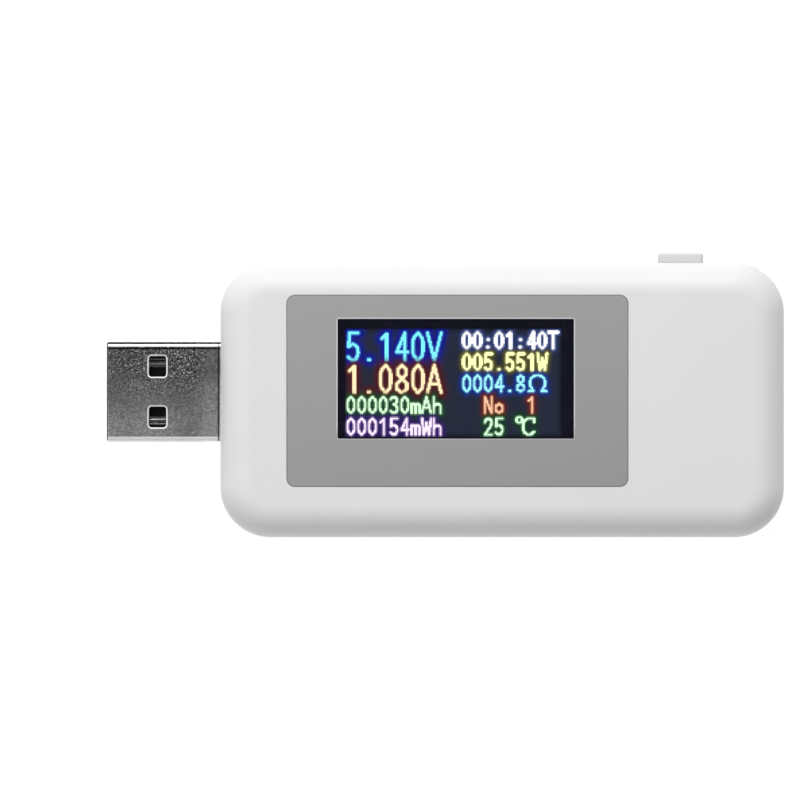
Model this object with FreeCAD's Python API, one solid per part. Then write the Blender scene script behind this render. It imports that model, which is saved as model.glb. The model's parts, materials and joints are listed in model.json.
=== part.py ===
"""USB power meter: a plug, a colour display and a socket in one casing, as separate pieces.

Millimetres. +X runs from the plug to the socket, +Y points to the side with the button,
and +Z points out of the display. The origin is the centre of the casing's flat back.
"""

import FreeCAD
import Part
import math
import os

Vector = FreeCAD.Vector
along_x = Vector(1, 0, 0)
along_y = Vector(0, 1, 0)
along_z = Vector(0, 0, 1)

# Casing: two shells that meet at the parting height
case_length = 67.8
case_width = 33.0
case_height = 13.6
case_corner = 6.0
case_rim = 3.6
side_wall = 1.5
face_wall = 1.4
parting_height = 6.3
parting_chamfer = 0.12
opening_play = 0.15
opening_bevel = 0.25

# Lip of the rear shell, inside the front shell, with snap ridges
lip_thickness = 0.7
lip_root = 0.4
lip_height = 1.2
lip_play = 0.05
snap_depth = 0.2
snap_half_height = 0.25
snap_length = 6.0
snap_rise = 0.7
snap_play = 0.1
snap_places = (-20.0, 5.0)

# Posts that carry the board, with pins through it into bosses of the front shell
post_x = 28.5
post_y = 11.3
post_radius = 1.6
pin_radius = 0.75
pin_play = 0.15
pin_end = 10.9
well_end = 11.4
boss_radius = 1.8

# Ribs under the connectors
rib_root = 0.3
rib_thickness = 0.8
rib_gap = 0.02
plug_rib_places = (-31.4, -29.8)
plug_rib_width = 10.0
socket_rib_places = (21.6, 25.0, 30.6)
socket_rib_width = 11.0

# Grey panel and the window in it
panel_length = 41.0
panel_width = 23.0
panel_x = -5.4
panel_y = 1.1
panel_thickness = 0.55
panel_recess = 0.6
panel_corner = 1.0
panel_edge = 0.12
panel_play = 0.05
window_length = 28.4
window_width = 14.4
window_x = -5.6
window_y = 2.55
window_corner = 0.2
window_bevel = 0.18
lens_lap = 0.4
lens_play = 0.1
lens_thickness = 0.7

# Display module, between the front shell and the board
cell_left = -20.7
cell_right = 9.4
ledge_right = 12.5
cell_width = 17.2
cell_top = 12.0
glass_thickness = 0.4
polariser_length = 29.6
polariser_width = 16.0
front_polariser_thickness = 0.15
rear_polariser_thickness = 0.1
driver_x = (9.9, 10.8)
driver_width = 12.0
driver_thickness = 0.25
guide_x = (-20.3, 11.0)
guide_width = 16.4
guide_z = (10.46, 11.05)
lamp_x = (11.1, 12.1)
lamp_width = 3.0
lamp_pitch = 4.5
lamp_z = (10.48, 11.02)
tray_x = (-21.1, 12.7)
tray_width = 18.0
tray_z = (10.35, 11.1)
tray_floor = 0.1
tray_corner = 0.5
pocket_x = (-20.4, 12.2)
pocket_width = 16.6
foam_x = -4.4
foam_length = 28.0
foam_width = 14.0
ribbon_thickness = 0.12
ribbon_width = 11.0
ribbon_bend = 0.35
ribbon_start = 11.3
ribbon_crest = 13.5
ribbon_foot = 14.9
ribbon_end = 17.4

# Circuit board, above both connectors
board_length = 62.4
board_width = 28.4
board_corner = 4.2
board_low = 9.2
board_thickness = 1.0
board_hole_play = 0.1
lead_end = 10.7
contact_hole = 0.62
leg_hole = 0.75
switch_pin_hole = 0.45
solder_spread = 0.22
solder_crest = 0.4
solder_height = 0.42

# Components under the board: middle in x and y, then length, width and height
components = {
    "microcontroller": (-7.0, -3.0, 7.0, 7.0, 1.4),
    "memory_chip": (5.0, -8.0, 4.9, 3.9, 1.4),
    "current_amplifier": (-19.0, -4.5, 2.9, 1.6, 1.1),
    "voltage_regulator": (4.0, 5.5, 4.5, 2.5, 1.5),
    "reverse_diode": (12.5, -7.0, 2.6, 4.3, 2.2),
    "clock_crystal": (1.5, 0.0, 2.5, 3.2, 0.8),
    "current_shunt": (-18.5, 4.0, 6.4, 3.2, 0.7),
    "temperature_sensor": (14.5, 10.5, 1.6, 0.8, 0.5),
    "tantalum_capacitor": (12.0, 4.5, 3.5, 2.8, 1.9),
}
component_edge = 0.08
capacitor_size = (2.0, 1.25, 1.1)
capacitor_y = 9.0
capacitor_places = (-24.0, -13.5, -10.5, -7.5, -1.0, 8.5)
resistor_size = (1.6, 0.8, 0.45)
resistor_row_y = -10.5
resistor_row_start = -16.0
resistor_row_pitch = 2.6
resistor_row_count = 6
resistor_stack_x = -22.5
resistor_stack_places = (-6.1, -4.5, -2.9)

# Leads of the chips: pitch, then how many on the +X, +Y, -X and -Y sides
chip_lead_counts = {
    "microcontroller": (0.8, 8, 8, 8, 8),
    "memory_chip": (1.27, 0, 4, 0, 4),
    "current_amplifier": (0.95, 0, 3, 0, 3),
    "voltage_regulator": (1.5, 0, 1, 0, 3),
    "reverse_diode": (1.0, 0, 1, 0, 1),
}
chip_gap = 0.1
chip_lead_width = 0.3
chip_lead_thickness = 0.14
chip_lead_bend = 0.06
chip_lead_drop = 0.8
chip_lead_knee = 0.35
chip_lead_heel = 0.45
chip_lead_toe = 1.0

# Both connectors share one axis, and have four contacts in the same order
connector_y = 1.0
connector_z = 6.3
sheet = 0.3
contact_width = 1.0
contact_thickness = 0.25
contact_bend = 0.1
contact_offsets = {"vbus": 3.5, "data_minus": 1.0, "data_plus": -1.0, "ground": -3.5}
leg_length = 1.2

# Plug
plug_width = 12.0
plug_height = 4.5
plug_reach = 13.7
plug_end = -28.9
plug_corner = 0.65
plug_tip_bevel = 0.18
latch_offset = 3.05
latch_from_tip = 6.1
latch_length = 2.1
latch_width = 2.5
latch_corner = 0.35
latch_bevel = 0.12
seam_width = 0.05
dovetail_from_tip = (2.2, 8.6)
dovetail_neck = 1.4
dovetail_head = 2.1
dovetail_depth = 0.9
plug_leg_places = (-30.4,)
plug_lead_x = -28.25
insulator_gap = 0.02
plug_tongue_setback = 0.6
plug_tongue_end = -33.8
plug_block_x = (-34.2, -28.75)
tongue_bevel = 0.25
power_contact_setback = 1.4
data_contact_setback = 2.4
contact_nose_drop = 0.7
contact_proud = 0.03

# Socket
socket_width = 13.1
socket_height = 5.72
socket_corner = 0.6
socket_start = 19.9
socket_setback = 0.1
mouth_bevel = 0.18
roof_gap_x = (21.1, 23.6)
roof_gap_width = 9.0
socket_leg_places = (21.6, 29.4)
rear_block_x = (20.25, 24.4)
socket_tongue_end = 32.9
socket_tongue_width = 11.1
socket_tongue_z = (6.36, 8.2)
groove_top = 7.76
groove_play = 0.1
groove_setback = 0.5
socket_lead_x = 22.0
root_gap = 0.05
contact_level = 7.0
arm_root = 24.5
arm_straight = 0.6
hump_from_root = 5.6
hump_level = 6.0
arm_length = 7.2
arm_tip_level = 6.9

# Spring fingers of the socket's shell, two above and two below
spring_width = 1.7
spring_slot = 2.2
spring_root = 31.9
spring_straight = 0.3
spring_hump = 3.8
spring_tip = 5.2
spring_hump_dip = 0.56
spring_tip_dip = 0.41
spring_slot_play = 0.4
spring_bend = 0.4

# Button cap, with a flange that keeps it in the casing
button_x = 21.5
button_z = 7.0
button_length = 5.4
button_height = 3.0
button_corner = 0.45
button_front_edge = 0.3
button_proud = 1.15
button_play = 0.1
button_inner_end = 14.5
flange_length = 7.0
flange_height = 4.1
flange_corner = 0.6
flange_gap = 0.1

# Switch behind the button
switch_length = 6.0
switch_back = 9.9
switch_front = 13.0
switch_low = 5.6
well_back = 11.3
well_length = 4.4
well_height = 2.6
cover_thickness = 0.2
cover_gap = 0.05
cover_tab_height = 2.0
cover_tab_back = 10.7
cover_hole_play = 0.15
plunger_z = 7.2
plunger_length = 2.8
plunger_height = 1.6
plunger_edge = 0.15
plunger_end = 14.08
plunger_foot_length = 3.9
plunger_foot_height = 2.3
plunger_foot_y = (12.0, 12.9)
dome_radius = 1.25
dome_rise = 0.6
dome_thickness = 0.08
dome_base = 11.35
switch_pin_width = 0.6
switch_pin_thickness = 0.3
switch_pin_offset = 2.3
switch_pin_rows = (10.6, 12.3)
switch_pin_root = 8.4

half_length = case_length / 2
half_width = case_width / 2
ceiling = case_height - face_wall
panel_floor = case_height - panel_recess
board_top = board_low + board_thickness
through_board = (board_low - 1, board_top + 1)
plug_tip = -half_length - plug_reach
socket_mouth = half_length - socket_setback
post_places = [(x, y) for x in (-post_x, post_x) for y in (-post_y, post_y)]


def span(centre, size):
    """Low and high ends of a stretch of that size about centre."""
    return (centre - size / 2, centre + size / 2)


def block(x, y, z):
    """Box from three (low, high) stretches."""
    return Part.makeBox(x[1] - x[0], y[1] - y[0], z[1] - z[0], Vector(x[0], y[0], z[0]))


def edges_along(shape, axis):
    """Straight edges that run along axis."""
    found = []
    for edge in shape.Edges:
        run = edge.Vertexes[-1].Point - edge.Vertexes[0].Point
        if run.Length > 1e-6 and run.cross(axis).Length < 1e-6:
            found.append(edge)
    return found


def edges_on(shape, axis, level):
    """Edges that lie in the plane at that level along axis."""
    found = []
    for edge in shape.Edges:
        places = [vertex.Point.dot(axis) for vertex in edge.Vertexes]
        places.append(edge.CenterOfMass.dot(axis))
        if max(abs(place - level) for place in places) < 1e-6:
            found.append(edge)
    return found


def rounded_block(x, y, z, radius, axis=along_z):
    """Box whose four edges along axis are rounded."""
    shape = block(x, y, z)
    return shape.makeFillet(radius, edges_along(shape, axis))


def soft_block(x, y, z, corner, rim):
    """Box with rounded upright corners and rounded top and bottom rims."""
    shape = rounded_block(x, y, z, corner)
    rims = edges_on(shape, along_z, z[0]) + edges_on(shape, along_z, z[1])
    return shape.makeFillet(rim, rims)


def flared_hole(x, y, z, radius, axis, flare):
    """Tool for a hole along axis, with a bevel where it opens, at its high end."""
    way = (along_x, along_y, along_z).index(axis)
    narrow = [x, y, z]
    wide = [(low - flare, high + flare) for low, high in narrow]
    low, level = narrow[way]
    narrow[way] = (low, level + 1)
    wide[way] = (level - flare, level + 1)
    mouth = rounded_block(*wide, radius + flare, axis)
    mouth = mouth.makeChamfer(flare * 0.999, edges_on(mouth, axis, level - flare))
    return rounded_block(*narrow, radius, axis).fuse(mouth)


def post(x, y, z, radius):
    return Part.makeCylinder(radius, z[1] - z[0], Vector(x, y, z[0]))


def fused(first, others):
    return first.fuse(others).removeSplitter()


def boundary(stations):
    """Lines and arcs through stations, each one point or the three points of an arc."""
    edges = []
    for i, station in enumerate(stations):
        if i:
            edges.append(Part.makeLine(stations[i - 1][-1], station[0]))
        if len(station) == 3:
            edges.append(Part.Arc(*station).toShape())
    return edges


def bent_strip(path, thickness, bend, sweep, u=along_x, v=along_z, base=Vector(0, 0, 0)):
    """Strip of sheet along path, a list of (u, v) points, bent at each to the inner radius bend.

    sweep is the strip's width, as a vector from the face that lies in the plane of u and v.
    """
    points = [base + u * place[0] + v * place[1] for place in path]
    normal = u.cross(v)
    half = thickness / 2
    middle = bend + half
    sides = {1: [], -1: []}
    for last, here, following in zip([None] + points[:-1], points, points[1:] + [None]):
        before = (here - last).normalize() if last else (following - here).normalize()
        after = (following - here).normalize() if following else before
        turn = before.getAngle(after)
        way = 1 if before.cross(after).dot(normal) > 0 else -1
        start = here - before * (middle * math.tan(turn / 2))
        end = here + after * (middle * math.tan(turn / 2))
        centre = start + normal.cross(before) * (way * middle)
        for side, stations in sides.items():
            first = start + normal.cross(before) * (side * half)
            if turn < 1e-6:
                stations.append((first,))
                continue
            crown = centre + (here - centre).normalize() * (middle - side * way * half)
            stations.append((first, crown, end + normal.cross(after) * (side * half)))
    edges = boundary(sides[1]) + boundary(sides[-1])
    for i in (0, -1):
        edges.append(Part.makeLine(sides[1][i][i], sides[-1][i][i]))
    outline = Part.Wire(Part.sortEdges(edges)[0])
    strip = Part.Face(outline).extrude(sweep)
    if strip.Volume < 0:
        strip.reverse()
    return strip


def contact_strip(path, name):
    """Bent contact across the connectors' axis, at the row place that belongs to name."""
    base = along_y * (connector_y + contact_offsets[name] - contact_width / 2)
    return bent_strip(path, contact_thickness, contact_bend, along_y * contact_width, base=base)


def plug_opening():
    x = (-half_length - 1, -half_length + side_wall + 1)
    y = span(connector_y, plug_width + 2 * opening_play)
    z = span(connector_z, plug_height + 2 * opening_play)
    return rounded_block(x, y, z, plug_corner + opening_play, along_x)


def socket_opening():
    x = (half_length - side_wall - 1, half_length)
    y = span(connector_y, socket_width + 2 * opening_play)
    z = span(connector_z, socket_height + 2 * opening_play)
    return flared_hole(x, y, z, socket_corner + opening_play, along_x, opening_bevel)


def button_opening():
    x = span(button_x, button_length + 2 * button_play)
    y = (half_width - side_wall - 1, half_width + 1)
    z = span(button_z, button_height + 2 * button_play)
    return rounded_block(x, y, z, button_corner + button_play, along_y)


def openings():
    return [plug_opening(), socket_opening(), button_opening()]


def inset_prism(inset, z):
    """The casing's outline moved in by inset, as an upright prism."""
    x = span(0, case_length - 2 * inset)
    y = span(0, case_width - 2 * inset)
    return rounded_block(x, y, z, case_corner - inset)


def case_half(z):
    """The part of the solid casing between two heights, bevelled at the parting line."""
    x = span(0, case_length)
    y = span(0, case_width)
    whole = soft_block(x, y, (0, case_height), case_corner, case_rim)
    half = whole.common(block(span(0, case_length + 2), span(0, case_width + 2), z))
    return half.makeChamfer(parting_chamfer, edges_on(half, along_z, parting_height))


def cavity():
    """The room inside both shells."""
    x = span(0, case_length - 2 * side_wall)
    y = span(0, case_width - 2 * side_wall)
    corner = case_corner - side_wall
    return soft_block(x, y, (face_wall, ceiling), corner, case_rim - side_wall)


def snap_ridges(depth, half_height, length):
    """Ridges on the lip's outer face: the snaps, or the tools for their grooves."""
    root = half_width - side_wall + lip_thickness
    level = parting_height + snap_rise
    ridges = []
    for x in snap_places:
        for side in (-1, 1):
            profile = [
                Vector(x - length / 2, side * (root - 0.1), level - half_height),
                Vector(x - length / 2, side * (root + depth), level),
                Vector(x - length / 2, side * (root - 0.1), level + half_height),
            ]
            face = Part.Face(Part.makePolygon(profile + profile[:1]))
            ridges.append(face.extrude(along_x * length))
    return ridges


def lip():
    z = (parting_height - lip_root, parting_height + lip_height)
    ring = inset_prism(side_wall - lip_thickness, z)
    return ring.cut(inset_prism(side_wall, (z[0] - 1, z[1] + 1)))


def connector_ribs(places, width, connector_height):
    """Ribs on the rear shell's floor that a connector's shell rests on."""
    z = (face_wall - rib_root, connector_z - connector_height / 2 - rib_gap)
    return [block(span(x, rib_thickness), span(connector_y, width), z) for x in places]


def rear_shell():
    shell = case_half((-1, parting_height)).cut(cavity())
    posts = [post(x, y, (face_wall - rib_root, board_low), post_radius) for x, y in post_places]
    pins = [post(x, y, (board_low - 1, pin_end), pin_radius) for x, y in post_places]
    ridges = snap_ridges(snap_depth, snap_half_height, snap_length)
    ribs = connector_ribs(plug_rib_places, plug_rib_width, plug_height)
    ribs += connector_ribs(socket_rib_places, socket_rib_width, socket_height)
    return fused(shell, [lip()] + posts + pins + ridges + ribs).cut(openings())


def front_shell():
    shell = case_half((parting_height, case_height + 1)).cut(cavity())
    bosses = [post(x, y, (board_top, ceiling + rib_root), boss_radius) for x, y in post_places]
    wells = [post(x, y, (board_top - 1, well_end), pin_radius + pin_play) for x, y in post_places]
    rebate = inset_prism(
        side_wall - lip_thickness - lip_play,
        (parting_height - 1, parting_height + lip_height + lip_play),
    )
    grooves = snap_ridges(
        snap_depth + snap_play, snap_half_height + snap_play, snap_length + 2 * snap_play
    )
    recess = rounded_block(
        span(panel_x, panel_length + 2 * panel_play),
        span(panel_y, panel_width + 2 * panel_play),
        (panel_floor, case_height + 1),
        panel_corner + panel_play,
    )
    lens_hole = block(
        span(window_x, window_length + 2 * lens_lap + 2 * lens_play),
        span(window_y, window_width + 2 * lens_lap + 2 * lens_play),
        (ceiling - 1, case_height),
    )
    return fused(shell, bosses).cut([rebate, recess, lens_hole] + wells + grooves + openings())


def display_panel():
    """Grey frame glued into the front shell, with a bevelled window."""
    z = (panel_floor, panel_floor + panel_thickness)
    panel = rounded_block(
        span(panel_x, panel_length), span(panel_y, panel_width), z, panel_corner
    )
    panel = panel.makeFillet(panel_edge, edges_on(panel, along_z, z[1]))
    window = flared_hole(
        span(window_x, window_length),
        span(window_y, window_width),
        (z[0] - 1, z[1]),
        window_corner,
        along_z,
        window_bevel,
    )
    return panel.cut(window)


def window_lens():
    x = span(window_x, window_length + 2 * lens_lap)
    y = span(window_y, window_width + 2 * lens_lap)
    return block(x, y, (panel_floor - lens_thickness, panel_floor))


def polariser(z):
    return block(span(window_x, polariser_length), span(window_y, polariser_width), z)


def front_polariser():
    return polariser((cell_top, cell_top + front_polariser_thickness))


def filter_glass():
    z = (cell_top - glass_thickness, cell_top)
    return block((cell_left, cell_right), span(window_y, cell_width), z)


def pixel_glass():
    """Lower glass, longer than the upper one, with a ledge for the driver chip."""
    z = (cell_top - 2 * glass_thickness, cell_top - glass_thickness)
    return block((cell_left, ledge_right), span(window_y, cell_width), z)


def rear_polariser():
    high = cell_top - 2 * glass_thickness
    return polariser((high - rear_polariser_thickness, high))


def light_guide():
    return block(guide_x, span(window_y, guide_width), guide_z)


def backlight_leds():
    """White lamps along the end of the light guide."""
    places = [window_y + i * lamp_pitch for i in (-1, 0, 1)]
    return Part.makeCompound([block(lamp_x, span(y, lamp_width), lamp_z) for y in places])


def backlight_frame():
    """White tray that holds the light guide and its lamps."""
    tray = rounded_block(tray_x, span(window_y, tray_width), tray_z, tray_corner)
    pocket_z = (tray_z[0] + tray_floor, tray_z[1] + 1)
    return tray.cut(block(pocket_x, span(window_y, pocket_width), pocket_z))


def mounting_foam():
    return block(span(foam_x, foam_length), span(window_y, foam_width), (board_top, tray_z[0]))


def display_driver():
    low = cell_top - glass_thickness
    return block(driver_x, span(window_y, driver_width), (low, low + driver_thickness))


def display_flex():
    """Ribbon from the glass ledge down to the board."""
    high = cell_top - glass_thickness + ribbon_thickness / 2
    low = board_top + ribbon_thickness / 2
    path = [(ribbon_start, high), (ribbon_crest, high), (ribbon_foot, low), (ribbon_end, low)]
    base = along_y * (window_y - ribbon_width / 2)
    return bent_strip(path, ribbon_thickness, ribbon_bend, along_y * ribbon_width, base=base)


def shell_legs(width, places):
    """Upright legs that carry a connector's side walls up through the board."""
    legs = []
    for x in places:
        for side in (-1, 1):
            y = connector_y + side * (width - sheet) / 2
            legs.append(block(span(x, leg_length), span(y, sheet), (connector_z, lead_end)))
    return legs


def plug_legs():
    return shell_legs(plug_width, plug_leg_places)


def socket_legs():
    return shell_legs(socket_width, socket_leg_places)


def switch_pin_solids():
    pins = []
    for offset in (-switch_pin_offset, switch_pin_offset):
        for y in switch_pin_rows:
            x = span(button_x + offset, switch_pin_width)
            pins.append(block(x, span(y, switch_pin_thickness), (switch_pin_root, lead_end)))
    return pins


def soldered_leads():
    """All leads and legs that pass through the board, each with its hole's radius."""
    leads = []
    for name in contact_offsets:
        leads += [(plug_contact(name), contact_hole), (socket_tail(name), contact_hole)]
    leads += [(leg, leg_hole) for leg in plug_legs() + socket_legs()]
    leads += [(pin, switch_pin_hole) for pin in switch_pin_solids()]
    return leads


def lead_place(lead):
    """Middle of a lead where it comes out of the board's top."""
    slab = block(span(0, case_length), span(0, case_width), (board_top, lead_end))
    return lead.common(slab).Solids[0].CenterOfMass


def main_board():
    x = span(0, board_length)
    board = rounded_block(x, span(0, board_width), (board_low, board_top), board_corner)
    holes = [post(x, y, through_board, pin_radius + board_hole_play) for x, y in post_places]
    for lead, radius in soldered_leads():
        middle = lead_place(lead)
        holes.append(post(middle.x, middle.y, through_board, radius))
    return board.cut(holes)


def solder_joints():
    """A cone of solder round each lead, on top of the board."""
    joints = []
    for lead, radius in soldered_leads():
        middle = lead_place(lead)
        foot = Vector(middle.x, middle.y, board_top)
        cone = Part.makeCone(radius + solder_spread, solder_crest, solder_height, foot)
        joints.append(cone.cut(lead))
    return Part.makeCompound(joints)


def component_body(x, y, length, width, height, gap=0.0):
    """Body of a component that hangs under the board."""
    high = board_low - gap
    body = block(span(x, length), span(y, width), (high - height, high))
    return body.makeChamfer(component_edge, edges_on(body, along_z, high - height))


def component(name):
    return component_body(*components[name], gap=chip_gap if name in chip_lead_counts else 0.0)


def ceramic_capacitors():
    bodies = [component_body(x, capacitor_y, *capacitor_size) for x in capacitor_places]
    return Part.makeCompound(bodies)


def chip_resistors():
    places = [(resistor_stack_x, y) for y in resistor_stack_places]
    for i in range(resistor_row_count):
        places.append((resistor_row_start + i * resistor_row_pitch, resistor_row_y))
    return Part.makeCompound([component_body(x, y, *resistor_size) for x, y in places])


def lead_row(name, outward, count, pitch):
    """Gull-wing leads on one side of a chip."""
    x, y, length, width, height = components[name]
    root = length / 2 if outward.x else width / 2
    along = along_z.cross(outward)
    knee = board_low - chip_lead_drop
    pad = board_low - chip_lead_thickness / 2
    path = [
        (root, knee),
        (root + chip_lead_knee, knee),
        (root + chip_lead_heel, pad),
        (root + chip_lead_toe, pad),
    ]
    leads = []
    for i in range(count):
        place = (i - (count - 1) / 2) * pitch - chip_lead_width / 2
        base = Vector(x, y, 0) + along * place
        sweep = along * chip_lead_width
        leads.append(
            bent_strip(path, chip_lead_thickness, chip_lead_bend, sweep, u=outward, base=base)
        )
    return leads


def chip_leads():
    leads = []
    for name, (pitch, *counts) in chip_lead_counts.items():
        for outward, count in zip((along_x, along_y, -along_x, -along_y), counts):
            leads += lead_row(name, outward, count, pitch)
    return Part.makeCompound(leads)


def latch_windows():
    """Tools for the latch windows, two in the plug's upper wall and two in its lower one."""
    x = span(plug_tip + latch_from_tip, latch_length)
    wall = connector_z + plug_height / 2
    tools = []
    for offset in (-latch_offset, latch_offset):
        y = span(connector_y + offset, latch_width)
        upper = flared_hole(x, y, (wall - 1, wall), latch_corner, along_z, latch_bevel)
        tools += [upper, upper.mirror(Vector(0, 0, connector_z), along_z)]
    return tools


def plug_seam():
    """The line where the plug's sheet meets itself underneath, locked by two dovetails."""
    path = [(plug_tip - 1, 0)]
    flare = (dovetail_head - dovetail_neck) / 2
    for start in dovetail_from_tip:
        x = plug_tip + start
        path += [
            (x, 0),
            (x - flare, dovetail_depth),
            (x + dovetail_neck + flare, dovetail_depth),
            (x + dovetail_neck, 0),
        ]
    path.append((plug_end + 1, 0))
    base = Vector(0, connector_y, connector_z - plug_height / 2 - 1)
    return bent_strip(path, seam_width, seam_width, along_z * (1 + 2 * sheet), v=along_y, base=base)


def plug_shell():
    y = span(connector_y, plug_width)
    z = span(connector_z, plug_height)
    tube = rounded_block((plug_tip, plug_end), y, z, plug_corner, along_x)
    tube = tube.makeChamfer(plug_tip_bevel, edges_on(tube, along_x, plug_tip))
    inside = rounded_block(
        (plug_tip - 1, plug_end + 1),
        span(connector_y, plug_width - 2 * sheet),
        span(connector_z, plug_height - 2 * sheet),
        plug_corner - sheet,
        along_x,
    )
    return fused(tube.cut([inside, plug_seam()] + latch_windows()), plug_legs())


def plug_contact(name):
    """Gold strip along the plug's tongue, through the rear block and up to the board."""
    setback = data_contact_setback if name.startswith("data") else power_contact_setback
    start = plug_tip + setback
    level = connector_z + contact_proud - contact_thickness / 2
    path = [
        (start, level - contact_nose_drop),
        (start, level),
        (plug_lead_x, level),
        (plug_lead_x, lead_end),
    ]
    return contact_strip(path, name)


def plug_insulator():
    """Tongue that fills the plug's lower half, with a block at the rear that fills it all."""
    gap = sheet + insulator_gap
    y = span(connector_y, plug_width - 2 * gap)
    z = span(connector_z, plug_height - 2 * gap)
    corner = plug_corner - gap
    tongue_tip = plug_tip + plug_tongue_setback
    tongue = rounded_block((tongue_tip, plug_tongue_end), y, z, corner, along_x)
    tongue = tongue.common(block((tongue_tip, plug_tongue_end), y, (z[0], connector_z)))
    tongue = tongue.makeChamfer(tongue_bevel, edges_on(tongue, along_x, tongue_tip))
    rear = rounded_block(plug_block_x, y, z, corner, along_x)
    return fused(tongue, [rear]).cut([plug_contact(name) for name in contact_offsets])


def spring_slots():
    x = (spring_root - spring_tip - spring_slot_play, spring_root + root_gap)
    slots = []
    for side in (-1, 1):
        wall = connector_z + side * (socket_height - sheet) / 2
        for offset in (-latch_offset, latch_offset):
            y = span(connector_y + offset, spring_slot)
            slots.append(block(x, y, span(wall, 4 * sheet)))
    return slots


def socket_shell():
    x = (socket_start, socket_mouth)
    y = span(connector_y, socket_width)
    tube = rounded_block(x, y, span(connector_z, socket_height), socket_corner, along_x)
    inside = flared_hole(
        (socket_start + sheet, socket_mouth),
        span(connector_y, socket_width - 2 * sheet),
        span(connector_z, socket_height - 2 * sheet),
        socket_corner - sheet,
        along_x,
        mouth_bevel,
    )
    roof_gap = block(roof_gap_x, span(connector_y, roof_gap_width), (connector_z + 2, board_low))
    return fused(tube.cut([inside, roof_gap] + spring_slots()), socket_legs())


def shell_springs(side):
    """Two fingers that press on a plug: rooted near the mouth, with a hump and a raised tip."""
    wall = connector_z + side * (socket_height - sheet) / 2
    path = [
        (spring_root, wall),
        (spring_root - spring_straight, wall),
        (spring_root - spring_hump, wall - side * spring_hump_dip),
        (spring_root - spring_tip, wall - side * spring_tip_dip),
    ]
    fingers = []
    for offset in (-latch_offset, latch_offset):
        base = along_y * (connector_y + offset - spring_width / 2)
        fingers.append(bent_strip(path, sheet, spring_bend, along_y * spring_width, base=base))
    return Part.makeCompound(fingers)


def socket_contact(name):
    """Springy gold arm under the tongue, with a hump that meets the plug's contact."""
    path = [
        (arm_root, contact_level),
        (arm_root + arm_straight, contact_level),
        (arm_root + hump_from_root, hump_level),
        (arm_root + arm_length, arm_tip_level),
    ]
    return contact_strip(path, name)


def socket_tail(name):
    """Fixed end of a socket contact, through the rear block and up to the board."""
    path = [
        (arm_root - root_gap, contact_level),
        (socket_lead_x, contact_level),
        (socket_lead_x, lead_end),
    ]
    return contact_strip(path, name)


def socket_tails():
    return Part.makeCompound([socket_tail(name) for name in contact_offsets])


def socket_insulator():
    """Rear block and tongue of the socket, grooved underneath for the contact arms."""
    gap = sheet + insulator_gap
    rear = rounded_block(
        rear_block_x,
        span(connector_y, socket_width - 2 * gap),
        span(connector_z, socket_height - 2 * gap),
        socket_corner - gap,
        along_x,
    )
    tongue_x = (rear_block_x[1] - 1, socket_tongue_end)
    tongue = block(tongue_x, span(connector_y, socket_tongue_width), socket_tongue_z)
    tongue = tongue.makeChamfer(tongue_bevel, edges_on(tongue, along_x, socket_tongue_end))
    tools = []
    for name, offset in contact_offsets.items():
        x = (rear_block_x[1], socket_tongue_end - groove_setback)
        y = span(connector_y + offset, contact_width + 2 * groove_play)
        tools += [block(x, y, (socket_tongue_z[0] - 1, groove_top)), socket_tail(name)]
    return fused(rear, [tongue]).cut(tools)


def button_cap():
    front = half_width + button_proud
    z = span(button_z, button_height)
    head_y = (button_inner_end, front)
    head = rounded_block(span(button_x, button_length), head_y, z, button_corner, along_y)
    head = head.makeFillet(button_front_edge, edges_on(head, along_y, front))
    flange = rounded_block(
        span(button_x, flange_length),
        (plunger_end + insulator_gap, half_width - side_wall - flange_gap),
        span(button_z, flange_height),
        flange_corner,
        along_y,
    )
    return fused(head, [flange])


def switch_case():
    """Moulded base of the switch, open towards the button."""
    x = span(button_x, switch_length)
    body = block(x, (switch_back, switch_front), (switch_low, board_low))
    well_y = (well_back, switch_front + 1)
    well = block(span(button_x, well_length), well_y, span(plunger_z, well_height))
    return body.cut([well] + switch_pin_solids())


def switch_cover():
    """Steel plate over the switch's front, with a tab down each side."""
    front = switch_front + cover_thickness
    z = (switch_low, board_low - cover_gap)
    x = span(button_x, switch_length + 2 * cover_thickness)
    plate = block(x, (switch_front, front), z)
    tabs = []
    for side in (-1, 1):
        middle = button_x + side * (switch_length + cover_thickness) / 2
        tab_x = span(middle, cover_thickness)
        tabs.append(block(tab_x, (cover_tab_back, front), span(plunger_z, cover_tab_height)))
    hole = block(
        span(button_x, plunger_length + 2 * cover_hole_play),
        (switch_front - 1, front + 1),
        span(plunger_z, plunger_height + 2 * cover_hole_play),
    )
    return fused(plate, tabs).cut(hole)


def switch_plunger():
    nose = block(
        span(button_x, plunger_length),
        (plunger_foot_y[1] - plunger_edge, plunger_end),
        span(plunger_z, plunger_height),
    )
    nose = nose.makeChamfer(plunger_edge, edges_on(nose, along_y, plunger_end))
    foot_z = span(plunger_z, plunger_foot_height)
    return fused(nose, [block(span(button_x, plunger_foot_length), plunger_foot_y, foot_z)])


def switch_dome():
    """Snap disc under the plunger: a thin cap of a sphere."""
    radius = (dome_radius**2 + dome_rise**2) / (2 * dome_rise)
    centre = Vector(button_x, dome_base + dome_rise - radius, plunger_z)
    ball = Part.makeSphere(radius, centre).cut(Part.makeSphere(radius - dome_thickness, centre))
    reach = span(button_x, 3 * dome_radius)
    return ball.common(block(reach, (dome_base, dome_base + 1), span(plunger_z, 3 * dome_radius)))


def switch_pins():
    return Part.makeCompound(switch_pin_solids())


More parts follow.
